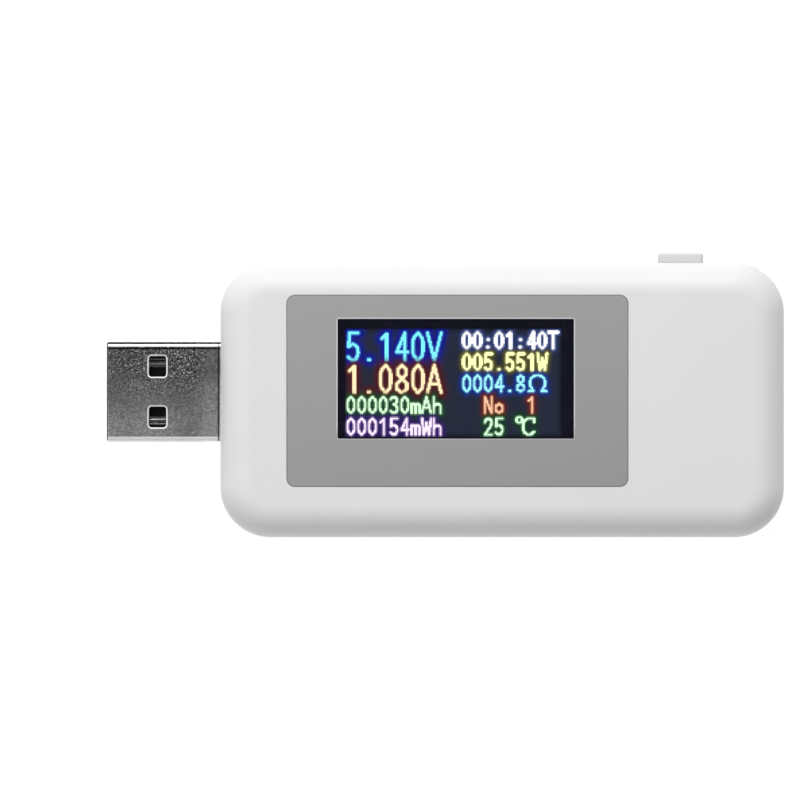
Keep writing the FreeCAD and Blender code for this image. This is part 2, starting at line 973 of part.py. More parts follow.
def sub_parts():
    """Every separate piece, by its node name."""
    makers = (
        front_shell, rear_shell, display_panel, window_lens,
        front_polariser, filter_glass, pixel_glass, rear_polariser,
        light_guide, backlight_leds, backlight_frame, mounting_foam,
        display_driver, display_flex, main_board, solder_joints,
        ceramic_capacitors, chip_resistors, chip_leads,
        plug_shell, plug_insulator, socket_shell, socket_insulator, socket_tails,
        button_cap, switch_case, switch_cover, switch_plunger, switch_dome, switch_pins,
    )
    parts = {maker.__name__: maker() for maker in makers}
    for name in components:
        parts[name] = component(name)
    for name in contact_offsets:
        parts[f"plug_contact_{name}"] = plug_contact(name)
        parts[f"socket_contact_{name}"] = socket_contact(name)
    parts["upper_shell_springs"] = shell_springs(1)
    parts["lower_shell_springs"] = shell_springs(-1)
    return parts


def main():
    os.makedirs("parts", exist_ok=True)
    for name, shape in sub_parts().items():
        if not shape.isValid() or shape.Volume <= 0:
            raise ValueError(f"{name} is not a sound solid")
        shape.exportStep(f"parts/{name}.step")
        print(f"{name}: {len(shape.Solids)} solid(s), {shape.Volume:.2f} mm3")


main()
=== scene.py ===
import json
import math

import bpy
import numpy as np
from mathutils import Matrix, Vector


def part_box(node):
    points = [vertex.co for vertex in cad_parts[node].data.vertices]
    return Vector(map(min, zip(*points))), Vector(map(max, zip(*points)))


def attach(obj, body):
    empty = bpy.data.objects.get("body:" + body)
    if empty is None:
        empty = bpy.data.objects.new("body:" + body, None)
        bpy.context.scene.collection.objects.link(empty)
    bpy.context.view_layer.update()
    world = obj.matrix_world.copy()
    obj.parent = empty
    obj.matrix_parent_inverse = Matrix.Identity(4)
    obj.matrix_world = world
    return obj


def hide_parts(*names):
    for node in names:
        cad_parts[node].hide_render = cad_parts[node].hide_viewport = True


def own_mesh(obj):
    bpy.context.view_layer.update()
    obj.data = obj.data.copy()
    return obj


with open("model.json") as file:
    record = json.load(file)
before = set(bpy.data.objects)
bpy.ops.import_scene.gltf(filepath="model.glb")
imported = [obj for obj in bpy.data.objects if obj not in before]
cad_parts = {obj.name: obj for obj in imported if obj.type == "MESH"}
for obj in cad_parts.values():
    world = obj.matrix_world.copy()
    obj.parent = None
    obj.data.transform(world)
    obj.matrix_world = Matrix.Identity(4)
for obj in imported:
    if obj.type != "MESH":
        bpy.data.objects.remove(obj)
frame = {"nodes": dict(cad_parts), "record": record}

bpy.context.view_layer.update()
bpy.ops.object.select_all(action="DESELECT")
mm = 0.001
caseLow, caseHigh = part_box("rear_shell")[0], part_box("front_shell")[1]
caseMiddle = (caseLow + caseHigh) / 2
print("frame loaded")


def linear(red, green, blue):
    # a colour given from 0 to 255, as Blender's linear light
    return tuple(
        (c / 255 / 12.92) if c <= 10 else ((c / 255 + 0.055) / 1.055) ** 2.4
        for c in (red, green, blue)
    )


class Wire:
    # one socket of a finish; + - * and ** on it add Math nodes

    def __init__(self, finish, socket):
        self.finish = finish
        self.socket = socket

    def maths(self, operation, first, second):
        return self.finish.node("Math", {"operation": operation}, {0: first, 1: second})

    def __add__(self, other):
        return self.maths("ADD", self, other)

    def __radd__(self, other):
        return self.maths("ADD", other, self)

    def __sub__(self, other):
        return self.maths("SUBTRACT", self, other)

    def __rsub__(self, other):
        return self.maths("SUBTRACT", other, self)

    def __mul__(self, other):
        return self.maths("MULTIPLY", self, other)

    def __rmul__(self, other):
        return self.maths("MULTIPLY", other, self)

    def __pow__(self, other):
        return self.maths("POWER", self, other)

    def __abs__(self):
        return self.maths("ABSOLUTE", self, 0)

    def atLeast(self, other):
        return self.maths("MAXIMUM", self, other)

    def atMost(self, other):
        return self.maths("MINIMUM", self, other)

    def wave(self, length):
        # a sine along the wire's own value, of that wavelength in millimetres
        return self.maths("SINE", self * (2 * math.pi / (length * mm)), 0)

    def fraction(self):
        return self.maths("FRACT", self, 0)


class Finish:
    # a material with one Principled shader; fixed values go straight on its sockets

    def __init__(self, name, **fixed):
        self.material = bpy.data.materials.new(name)
        self.material.use_nodes = True
        self.tree = self.material.node_tree
        self.shader = self.tree.nodes["Principled BSDF"]
        for socketName, value in fixed.items():
            self.shader.inputs[socketName.replace("_", " ")].default_value = value
        self.place = self.node("TexCoord", {}, {}, "Object")

    def node(self, kind, settings, sockets, output=0):
        made = self.tree.nodes.new("ShaderNode" + kind)
        for key, value in settings.items():
            if key == "stops":
                self.setStops(made.color_ramp, value)
            else:
                setattr(made, key, value)
        for key, value in sockets.items():
            self.feed(made.inputs[key], value)
        return Wire(self, made.outputs[output])

    def setStops(self, ramp, stops):
        while len(ramp.elements) < len(stops):
            ramp.elements.new(1.0)
        for element, (position, colour) in zip(ramp.elements, stops):
            element.position = position
            element.color = colour if len(colour) == 4 else (*colour, 1)

    def feed(self, socket, value):
        if isinstance(value, Wire):
            self.tree.links.new(value.socket, socket)
        elif hasattr(value, "__len__") and socket.type == "RGBA" and len(value) == 3:
            socket.default_value = (*value, 1)
        else:
            socket.default_value = value

    def set(self, socketName, value):
        self.feed(self.shader.inputs[socketName], value)

    def noise(self, size, detail=2.0, roughness=0.5, place=None):
        # size is the width of one blotch, in millimetres
        sockets = {"Vector": place or self.place, "Scale": 1 / (size * mm)}
        sockets.update({"Detail": detail, "Roughness": roughness})
        return self.node("TexNoise", {}, sockets, "Fac")

    def along(self, axis):
        return self.node("SeparateXYZ", {}, {"Vector": self.place}, axis)

    def ramp(self, value, low, high, outLow=0.0, outHigh=1.0):
        sockets = {"Value": value, "From Min": low, "From Max": high}
        sockets.update({"To Min": outLow, "To Max": outHigh})
        return self.node("MapRange", {"clamp": True}, sockets, "Result")

    def blend(self, amount, first, second):
        settings = {"data_type": "RGBA", "blend_type": "MIX"}
        return self.node("Mix", settings, {0: amount, 6: first, 7: second}, 2)

    def bump(self, height, depth):
        # depth is the height of the relief in millimetres
        sockets = {"Height": height, "Distance": depth * mm, "Strength": 1.0}
        self.set("Normal", self.node("Bump", {}, sockets, "Normal"))


noiseMiddle = (0.3, 0.7)  # where a noise goes from its low value to its high one
plasticGrain = {"cloudShare": 0.1, "sheenSpread": 0.05}


def mouldedPlastic(name, look):
    # satin moulded plastic: fine spark-eroded grain, faint cloudiness, uneven sheen;
    # where lean is given, the colour slopes to a painted shade across the piece;
    # lean is the share of X in that slope, and where it starts and ends, in millimetres
    finish = Finish(name, IOR=1.5, Specular_IOR_Level=look.get("gloss", 0.5))
    cloud = finish.noise(look["cloudSize"], 2.0)
    grain = finish.noise(look["grainSize"], 3.0, 0.6)
    amount = finish.ramp(cloud, *noiseMiddle)
    # painted shade: where lean is given, most of the colour follows a slope across the piece and the rest
    # the cloud
    if "lean" in look:
        share, low, high = look["lean"]
        paintedShadeSlope = finish.along("X") * share - finish.along("Y")
        cloudShare = plasticGrain["cloudShare"]
        amount = amount * cloudShare + finish.ramp(paintedShadeSlope, low * mm, high * mm) * (1 - cloudShare)
    finish.set("Base Color", finish.blend(amount, look["colour"], look["shade"]))
    spread = plasticGrain["sheenSpread"]
    sheen = finish.ramp(grain, *noiseMiddle, look["roughness"] - spread, look["roughness"] + spread)
    finish.set("Roughness", sheen)
    finish.bump(grain, look["grainDepth"])
    return finish.material


def nearWindow(finish, marks):
    # distance outside the nearer of the plug's latch windows, in metres
    x, y = finish.along("X"), finish.along("Y")
    corner, (long, wide) = marks["windowCorner"], marks["windowSize"]
    along = abs(x - marks["windowMiddle"][0] * mm) - (long / 2 - corner) * mm
    across = abs(abs(y - marks["windowMiddle"][1] * mm) - marks["windowOffset"] * mm)
    across = across - (wide / 2 - corner) * mm
    outside = (along.atLeast(0) ** 2 + across.atLeast(0) ** 2) ** 0.5
    return outside + along.atLeast(across).atMost(0) - corner * mm


def band(finish, value, low, high, soft=0.04):
    # 1 between low and high, in millimetres, fading over the soft width
    rise = finish.ramp(value, (low - soft) * mm, (low + soft) * mm)
    return rise * finish.ramp(value, (high + soft) * mm, (high - soft) * mm)


def grainySteel(name, look, marks=None):
    # tumbled sheet steel: soft mottling all over, with dark pits and bright nicks towards one corner
    finish = Finish(name, Specular_Tint=(*look["edgeTint"], 1))
    mottle = finish.noise(look["mottleSize"], 2.0, 0.6)
    drift = finish.noise(look["driftSize"], 1.0)
    # painted reflection: the tone is lighter towards -Y and darker towards +Y; it is also lighter towards
    # the casing end
    paintedReflectionSide = finish.ramp(finish.along("Y"), look["paintedLightSide"] * mm, look["paintedDarkSide"] * mm)
    end = finish.ramp(finish.along("X"), look["darkerEnd"] * mm, look["brightEnd"] * mm)
    tone = finish.ramp(paintedReflectionSide, 0, 1, look["paintedLightTone"], look["paintedDarkTone"]) * (1 + end * look["endLift"])
    tone = tone * (1 + (mottle - 0.5) * look["mottling"] + (drift - 0.5) * look["drifting"])
    height = finish.ramp(finish.along("Y"), look["workedFrom"] * mm, look["workedTo"] * mm)
    spread = height + drift * look["workedDrift"]
    worked = finish.ramp(spread, *look["workedRange"], look["leastWorked"], 1.0)
    worked = worked * (1 - end * look["endCalm"])
    tip, case = look["tipPlace"] * mm, look["casePlace"] * mm
    lean = finish.ramp(finish.along("X"), tip, case, look["tipShare"], 1.0)
    wallEnd = look["wallPlace"] + look["wallSoft"]
    wall = finish.ramp(finish.along("Y"), look["wallPlace"] * mm, wallEnd * mm)
    worked = worked * lean * (1 - wall * look["wallCalm"])
    pits = finish.ramp(finish.noise(look["pitSize"], 1.0), *look["pitRange"]) * worked
    nicks = finish.ramp(finish.noise(look["nickSize"], 0.0), *look["nickRange"]) * worked
    tone = (tone * (1 - pits * look["pitting"])).atLeast(0.01).atMost(1)
    steel = finish.blend(tone, (0, 0, 0), (1, 1, 1))
    # bright holds the nicks and, on the plug, painted highlights; both take the same white
    bright = nicks * look["nicking"]
    if marks:
        bright, steel = plugMarks(finish, marks, bright, steel)
    finish.set("Base Color", finish.blend(bright, steel, look["nickAndHighlightWhite"]))
    finish.set("Metallic", 1 - bright * look["nickDulling"])
    finish.set("Roughness", finish.ramp(mottle, *noiseMiddle, look["rough"], look["smooth"]))
    finish.bump(mottle, look["grainDepth"])
    return finish.material


def plugMarks(finish, marks, bright, steel):
    # painted highlights round the latch windows, along the bottom edge and in a strip under the top edge;
    # painted shade lines along the top edge, a painted shadow where the plug enters the casing, and a dark
    # line across the tip; all on the top face only
    x, y, z = finish.along("X"), finish.along("Y"), finish.along("Z")
    face = finish.ramp(z, marks["faceHeight"] * mm, (marks["faceHeight"] + marks["faceSoft"]) * mm)
    rimEnd, foldEnd = marks["rimWidth"] - marks["rimSoft"], marks["foldPlace"] - marks["foldSoft"]
    # painted highlights: round the latch windows, along the bottom edge, and in a strip under the top edge
    paintedWindowHighlight = finish.ramp(nearWindow(finish, marks), marks["rimWidth"] * mm, rimEnd * mm)
    paintedEdgeReflection = finish.ramp(y, marks["foldPlace"] * mm, foldEnd * mm) * marks["foldShare"]
    paintedHighlights = paintedWindowHighlight.atLeast(paintedEdgeReflection).atLeast(band(finish, y, *marks["strip"]))
    # painted shade: dark lines along the top edge and a painted shadow where the plug enters the casing;
    # also a dark line across the tip
    line = band(finish, y, *marks["hairline"]).atLeast(band(finish, y, *marks["underline"]))
    line = line.atLeast(band(finish, x, *marks["tipLine"])).atLeast(band(finish, x, *marks["caseShadowLine"]))
    line = line * face * marks["darkShare"]
    return bright.atLeast(paintedHighlights * face) * (1 - line), finish.blend(line, steel, marks["lineColour"])


metalWear = {"tarnishRange": (0.35, 0.75), "smoother": 0.06, "rougher": 0.08}


def brushedMetal(name, look):
    # plated or rolled metal, with marks drawn out along its length
    finish = Finish(name, Metallic=1.0)
    stretch = finish.node("Mapping", {}, {"Vector": finish.place, "Scale": look["stretch"]}, "Vector")
    line = finish.noise(look["lineSize"], 3.0, 0.6, stretch)
    tarnish = finish.noise(look["tarnishSize"], 2.0)
    amount = finish.ramp(tarnish, *metalWear["tarnishRange"])
    finish.set("Base Color", finish.blend(amount, look["colour"], look["shade"]))
    smooth, rough = look["roughness"] - metalWear["smoother"], look["roughness"] + metalWear["rougher"]
    finish.set("Roughness", finish.ramp(line, *noiseMiddle, smooth, rough))
    finish.bump(line, look["lineDepth"])
    return finish.material


smearLook = {"roughRange": (0.4, 0.8), "rougher": 0.03}


def clearSheet(name, look):
    # clear or smoky glass with the faintest ripple
    finish = Finish(name, Transmission_Weight=look["clear"], IOR=look["ior"])
    smear = finish.noise(look["smearSize"], 2.0)
    finish.set("Base Color", finish.blend(finish.ramp(smear, *noiseMiddle), look["colour"], look["shade"]))
    rough = look["roughness"] + smearLook["rougher"]
    finish.set("Roughness", finish.ramp(smear, *smearLook["roughRange"], look["roughness"], rough))
    return finish.material


def solderMask(name, look):
    # lacquered board: glass weave under the mask and tracks that show through it
    finish = Finish(name, Coat_Weight=look["coat"], Coat_Roughness=look["coatRoughness"])
    weave = finish.along("X").wave(look["weaveSize"])
    weft = finish.along("Y").wave(look["weaveSize"])
    cells = {"Vector": finish.place, "Scale": 1 / (look["trackSize"] * mm)}
    distance = finish.node("TexVoronoi", {"distance": "CHEBYCHEV", "feature": "F1"}, cells, "Distance")
    track = finish.ramp((distance * look["tracksPerCell"]).fraction(), *look["trackEdge"])
    finish.set("Base Color", finish.blend(track, look["colour"], look["track"]))
    finish.set("Roughness", look["roughness"] + weave * weft * look["weaveSheen"])
    finish.bump(track * look["trackRelief"] + weave * weft * look["weaveRelief"], look["relief"])
    return finish.material


def paintedPicture(name, look):
    # the lit picture, from the colours stored on the display's own faces
    finish = Finish(name, Roughness=look["roughness"], Specular_IOR_Level=look["gloss"],
                    Emission_Strength=look["glow"])
    finish.set("Base Color", look["unlit"])
    stored = finish.node("Attribute", {"attribute_name": "pictureColour"}, {}, "Color")
    finish.set("Emission Color", stored)
    return finish.material


def lampPlastic(name, look):
    # milky lamp with a yellow phosphor middle
    finish = Finish(name, Roughness=look["roughness"], Subsurface_Weight=look["milkiness"])
    spot = finish.noise(look["spotSize"], 2.0)
    finish.set("Base Color", finish.blend(finish.ramp(spot, *noiseMiddle), look["colour"], look["shade"]))
    finish.bump(spot, look["relief"])
    return finish.material


plasticLooks = {
    "white_casing": dict(colour=(0.80, 0.80, 0.80), shade=(0.785, 0.785, 0.785), roughness=0.45, gloss=0.3,
                         cloudSize=14, grainSize=0.12, grainDepth=0.0015),
    # white_button is the casing's white made darker, as painted shade on the button
    "white_button": dict(colour=(0.63, 0.63, 0.63), shade=(0.61, 0.61, 0.61), roughness=0.5, gloss=0.3,
                         cloudSize=3, grainSize=0.1, grainDepth=0.0015),
    # rim_white colours the ring round the window, a painted highlight; its lean paints shade on the ring's
    # bottom side
    "rim_white": dict(colour=(0.68, 0.68, 0.7), shade=(0.42, 0.42, 0.43), roughness=0.3, lean=(0, 3, 4.6),
                      cloudSize=3, grainSize=0.1, grainDepth=0.001),
    # grey_panel's lean paints a reflection on the panel: darker towards the bottom right
    "grey_panel": dict(colour=(0.365, 0.365, 0.362), shade=(0.312, 0.312, 0.312), roughness=0.5,
                       lean=(0.3, -20, 15), cloudSize=10, grainSize=0.1, grainDepth=0.0015),
    "backlight_white": dict(colour=(0.85, 0.85, 0.83), shade=(0.8, 0.8, 0.78), roughness=0.5,
                            cloudSize=5, grainSize=0.15, grainDepth=0.002),
    "black_foam": dict(colour=(0.012, 0.012, 0.012), shade=(0.02, 0.02, 0.02), roughness=0.9,
                       cloudSize=2, grainSize=0.25, grainDepth=0.05),
    "black_chip": dict(colour=(0.018, 0.018, 0.02), shade=(0.026, 0.026, 0.028), roughness=0.6,
                       cloudSize=2, grainSize=0.07, grainDepth=0.004),
    "shunt_black": dict(colour=(0.015, 0.015, 0.016), shade=(0.03, 0.03, 0.03), roughness=0.55,
                        cloudSize=0.6, grainSize=0.06, grainDepth=0.004),
    "ceramic_tan": dict(colour=(0.34, 0.22, 0.13), shade=(0.27, 0.17, 0.1), roughness=0.4,
                        cloudSize=0.5, grainSize=0.05, grainDepth=0.003),
    "tantalum_yellow": dict(colour=(0.62, 0.3, 0.03), shade=(0.55, 0.25, 0.02), roughness=0.5,
                            cloudSize=0.8, grainSize=0.06, grainDepth=0.004),
    "amber_flex": dict(colour=(0.5, 0.19, 0.02), shade=(0.4, 0.14, 0.015), roughness=0.32,
                       cloudSize=1.5, grainSize=0.3, grainDepth=0.004),
    "black_insulator": dict(colour=(0.022, 0.022, 0.024), shade=(0.03, 0.03, 0.032), roughness=0.4,
                            cloudSize=3, grainSize=0.12, grainDepth=0.003),
    # plug_black is the insulator's black made darker, as painted shade inside the plug
    "plug_black": dict(colour=(0.005, 0.005, 0.006), shade=(0.008, 0.008, 0.009), roughness=0.45, gloss=0.1,
                       cloudSize=3, grainSize=0.12, grainDepth=0.003),
    "switch_black": dict(colour=(0.014, 0.014, 0.014), shade=(0.022, 0.022, 0.022), roughness=0.4,
                         cloudSize=1, grainSize=0.08, grainDepth=0.003),
}
# the Side and Tone entries paint a reflection across the steel's width; the End entries make it lighter
# towards the casing end
steelLook = dict(edgeTint=(0.6, 0.6, 0.6), nickAndHighlightWhite=(0.95, 0.95, 0.95), rough=0.26, smooth=0.2,
                 paintedLightSide=-4.5, paintedDarkSide=3.2, paintedLightTone=0.72, paintedDarkTone=0.36,
                 darkerEnd=-37.2, brightEnd=-35.2, endLift=0.3,
                 mottleSize=0.32, mottling=1.3, driftSize=4, drifting=0.7, grainDepth=0.003,
                 workedFrom=-2.5, workedTo=5, workedDrift=0.5, workedRange=(0.5, 1.15),
                 leastWorked=0.15, endCalm=0.8,
                 tipPlace=-47, casePlace=-38, tipShare=0.65, wallPlace=6.88, wallSoft=0.1,
                 wallCalm=0.8,
                 pitSize=0.23, pitRange=(0.49, 0.4), pitting=0.95,
                 nickSize=0.17, nickRange=(0.67, 0.72), nicking=0.65, nickDulling=0.9)
plugSteelLook = dict(steelLook, mottling=2.3, workedFrom=-3.2, leastWorked=0.12, pitRange=(0.5, 0.42),
                     pitting=1.0, nicking=0.7)
# the rim, fold and strip entries place painted highlights; the hairline and underline entries place painted
# shade lines along the top edge, the case line a painted shadow where the plug enters the casing, and the
# tip line a dark line across the tip
plugMarksLook = dict(windowMiddle=(-41.5, 1.0), windowOffset=3.05, windowSize=(2.1, 2.5), windowCorner=0.35,
                     rimWidth=0.2, rimSoft=0.06, faceHeight=8.1, faceSoft=0.1,
                     foldPlace=-4.35, foldSoft=0.12, foldShare=0.85, strip=(6.42, 6.7),
                     tipLine=(-48, -47.46), caseShadowLine=(-34.24, -34.08), hairline=(6.76, 6.94),
                     underline=(6.12, 6.32), lineColour=(0.01, 0.01, 0.01), darkShare=0.95)
metalLooks = {
    "tinned_metal": dict(colour=(0.7, 0.7, 0.69), shade=(0.55, 0.55, 0.54), roughness=0.3,
                         stretch=(1, 1, 1), lineSize=0.08, tarnishSize=0.6, lineDepth=0.002),
    "solder": dict(colour=(0.72, 0.72, 0.7), shade=(0.58, 0.58, 0.56), roughness=0.22,
                   stretch=(1, 1, 1), lineSize=0.2, tarnishSize=0.4, lineDepth=0.004),
    "spring_steel": dict(colour=(0.62, 0.62, 0.61), shade=(0.5, 0.5, 0.49), roughness=0.28,
                         stretch=(1, 1, 1), lineSize=0.15, tarnishSize=0.8, lineDepth=0.001),
    "gold_contact": dict(colour=(0.9, 0.62, 0.22), shade=(0.78, 0.5, 0.16), roughness=0.22,
                         stretch=(0.15, 1, 1), lineSize=0.06, tarnishSize=0.7, lineDepth=0.0015),
    # plug_contact is the gold contacts' finish made grey and darker, as painted shade inside the plug
    "plug_contact": dict(colour=(0.46, 0.46, 0.455), shade=(0.34, 0.34, 0.335), roughness=0.16,
                         stretch=(0.15, 1, 1), lineSize=0.06, tarnishSize=0.7, lineDepth=0.0008),
}
glassLooks = {
    "clear_window": dict(colour=(1, 1, 1), shade=(0.98, 0.98, 1), clear=1.0, ior=1.2,
                         smearSize=6, roughness=0.0),
    "display_glass": dict(colour=(0.5, 0.55, 0.6), shade=(0.45, 0.5, 0.56), clear=0.7, ior=1.5,
                          smearSize=5, roughness=0.02),
    "polariser": dict(colour=(0.05, 0.055, 0.06), shade=(0.06, 0.06, 0.07), clear=0.3, ior=1.5,
                      smearSize=5, roughness=0.1),
    "light_guide": dict(colour=(0.95, 0.97, 1), shade=(0.9, 0.93, 0.97), clear=0.8, ior=1.49,
                        smearSize=0.4, roughness=0.08),
}
boardLook = dict(colour=(0.008, 0.075, 0.025), track=(0.02, 0.13, 0.05), roughness=0.34,
                 coat=0.4, coatRoughness=0.12, weaveSize=0.5, weaveSheen=0.05, weaveRelief=0.2,
                 trackSize=3.2, tracksPerCell=4.0, trackEdge=(0.45, 0.55), trackRelief=0.8, relief=0.02)
lampLook = dict(colour=(0.95, 0.93, 0.75), shade=(0.9, 0.75, 0.25), roughness=0.3, milkiness=0.2,
                spotSize=0.5, relief=0.01)
pictureLook = dict(unlit=(0.004, 0.004, 0.006, 1), roughness=0.25, gloss=0.1, glow=1.15)


def makeFinishes():
    made = {name: mouldedPlastic(name + "Finish", look) for name, look in plasticLooks.items()}
    made["shell_steel"] = grainySteel("shellSteelFinish", steelLook)
    made["plug_steel"] = grainySteel("plugSteelFinish", plugSteelLook, plugMarksLook)
    made.update({name: brushedMetal(name + "Finish", look) for name, look in metalLooks.items()})
    made.update({name: clearSheet(name + "Finish", look) for name, look in glassLooks.items()})
    made["green_board"] = solderMask("boardFinish", boardLook)
    made["lamp"] = lampPlastic("lampFinish", lampLook)
    return made


finishes = makeFinishes()
contactNames = ("vbus", "data_minus", "data_plus", "ground")
# the plug's insulator and contacts take darker copies of the socket's finishes, painted shade inside the
# plug
ownFinish = {"plug_shell": "plug_steel", "plug_insulator": "plug_black"}
ownFinish.update({"plug_contact_" + name: "plug_contact" for name in contactNames})
for part in frame["record"]["subparts"]:
    for place in frame["nodes"][part["node"]].material_slots:
        place.material = finishes[ownFinish.get(part["node"], part["material_slot"])]
print("finishes on", len(frame["nodes"]), "nodes")


def editAll(piece):
    bpy.ops.object.select_all(action="DESELECT")
    piece.select_set(True)
    bpy.context.view_layer.objects.active = piece
    bpy.ops.object.mode_set(mode="EDIT")
    bpy.ops.mesh.select_all(action="SELECT")


def pickFaces(piece, wanted):
    # selects the faces that wanted says yes to, and stays in edit mode
    bpy.ops.mesh.select_mode(type="FACE")
    bpy.ops.mesh.select_all(action="DESELECT")
    bpy.ops.object.mode_set(mode="OBJECT")
    for face in piece.data.polygons:
        face.select = wanted(face)
    bpy.ops.object.mode_set(mode="EDIT")


def leaveEdit(piece, name):
    bpy.ops.object.mode_set(mode="OBJECT")
    bpy.ops.object.transform_apply(location=True, rotation=True, scale=True)
    piece.name = name
    piece.data.name = name
    return piece


def pickEdges(piece, wanted):
    # selects the edges whose two ends wanted says yes to, and stays in edit mode
    bpy.ops.mesh.select_mode(type="EDGE")
    bpy.ops.mesh.select_all(action="DESELECT")
    bpy.ops.object.mode_set(mode="OBJECT")
    points = piece.data.vertices
    for edge in piece.data.edges:
        edge.select = wanted([points[i].co for i in edge.vertices])
    bpy.ops.object.mode_set(mode="EDIT")


def addModifier(piece, kind, **settings):
    bpy.ops.object.select_all(action="DESELECT")
    piece.select_set(True)
    bpy.context.view_layer.objects.active = piece
    modifier = piece.modifiers.new(kind.lower(), kind)
    for key, value in settings.items():
        setattr(modifier, key, value)
    bpy.ops.object.modifier_apply(modifier=modifier.name)


def smoothByAngle(piece, angle=30):
    bpy.ops.object.select_all(action="DESELECT")
    piece.select_set(True)
    bpy.context.view_layer.objects.active = piece
    bpy.ops.object.shade_smooth_by_angle(angle=math.radians(angle))


def copyPiece(piece, name):
    # a copy with a mesh of its own
    bpy.ops.object.select_all(action="DESELECT")
    piece.select_set(True)
    bpy.context.view_layer.objects.active = piece
    bpy.ops.object.duplicate(linked=False)
    made = bpy.context.object
    made.name = name
    made.data.name = name
    return made


def moveMesh(piece, offset):
    editAll(piece)
    bpy.ops.transform.translate(value=offset)
    bpy.ops.object.mode_set(mode="OBJECT")


# Strokes of each sign in a cell 8 wide and 16 high, or 16 wide for the two wide signs; y runs down
signStrokes = {
    "0": [[(3.5, 2), (1.5, 4), (1, 6), (1, 10), (1.5, 12), (3.5, 14),
           (5.5, 12), (6, 10), (6, 6), (5.5, 4), (3.5, 2)]],
    "1": [[(1.6, 4.6), (4, 2.4), (4, 14)]],
    "2": [[(1, 5), (1.6, 3), (3.5, 2), (5.4, 3), (6, 5), (5.4, 7.4), (1, 14), (6, 14)]],
    "3": [[(1, 4), (2, 2.4), (4, 2), (5.6, 3.4), (5.6, 6), (3.4, 7.6), (5.6, 9), (6, 11.4),
           (5, 13.4), (3, 14), (1, 12.4)]],
    "4": [[(5, 14), (5, 2), (1, 10.4), (6.4, 10.4)]],
    "5": [[(6, 2), (1.6, 2), (1.2, 8), (3.4, 6.8), (5.4, 8), (6, 10.6), (5, 13.4), (3, 14), (1, 12.4)]],
    "6": [[(5.6, 3), (4, 2), (2, 4), (1, 8), (1, 11.4), (2, 13.4), (4, 14), (5.6, 12.6), (6, 10.4),
           (4.6, 8), (2.6, 8), (1, 9.6)]],
    "7": [[(1, 2), (6, 2), (4.4, 7), (3, 14)]],
    "8": [[(3.5, 2), (1.5, 3.6), (1.5, 6), (3.5, 7.8), (5.5, 6), (5.5, 3.6), (3.5, 2)],
          [(3.5, 7.8), (1, 10), (1, 12.4), (3.5, 14), (6, 12.4), (6, 10), (3.5, 7.8)]],
    "9": [[(6, 6.4), (4.4, 8.2), (2.4, 8), (1, 5.8), (1.4, 3.4), (3.5, 2), (5.6, 3.4), (6, 6), (5.6, 10),
           (4, 13.4), (2, 14)]],
    "V": [[(0.2, 2), (3.6, 14), (7, 2)]],
    "A": [[(0.2, 14), (3.6, 2), (7, 14)], [(1.4, 10), (5.8, 10)]],
    "W": [[(0.2, 2), (1.8, 14), (3.6, 5), (5.4, 14), (7, 2)]],
    "T": [[(0.2, 2), (7, 2)], [(3.6, 2), (3.6, 14)]],
    "m": [[(0.8, 14), (0.8, 7)], [(0.8, 8), (2.2, 7), (3.5, 8), (3.5, 14)],
          [(3.5, 8), (5, 7), (6.2, 8), (6.2, 14)]],
    "h": [[(1, 2), (1, 14)], [(1, 9), (3, 7), (5, 7.4), (6, 9), (6, 14)]],
    "N": [[(1, 14), (1, 2), (6, 14), (6, 2)]],
    "o": [[(3.5, 7), (1.4, 8.4), (1, 10.5), (1.4, 12.6), (3.5, 14), (5.6, 12.6), (6, 10.5), (5.6, 8.4),
           (3.5, 7)]],
    ".": [[(3, 13.6), (3.6, 13.6)]],
    ":": [[(3, 7.4), (3.6, 7.4)], [(3, 13), (3.6, 13)]],
    "ohm": [[(1.6, 13.6), (5, 13.6), (2.8, 10), (2.2, 7), (3.2, 4), (5.4, 2.4), (8, 2), (10.6, 2.4),
             (12.8, 4), (13.8, 7), (13.2, 10), (11, 13.6), (14.4, 13.6)]],
    "celsius": [[(2.4, 0.8), (0.8, 1.5), (0.2, 3), (0.8, 4.5), (2.4, 5.2), (4, 4.5), (4.6, 3), (4, 1.5),
                 (2.4, 0.8)],
                [(13.4, 4.6), (13.4, 2), (9, 2), (6.4, 3.4), (5.4, 6), (5.2, 9), (6, 12), (8.4, 13.8),
                 (11, 13.8), (13.4, 11.8)]],
}

picture = {
    "dots": (160, 80),
    "pitch": 0.162 * mm,
    "inset": (0.95 * mm, 1.2 * mm),
    "lensLap": 0.4 * mm,
    "ground": (30, 36, 52),
    "border": (8, 9, 20),
    "edgeFade": 5.0,
    "edgeShade": 0.35,
    "bloomReach": 0.55,
    "bloomShare": 0.25,
    "largestDot": 1.5,
}
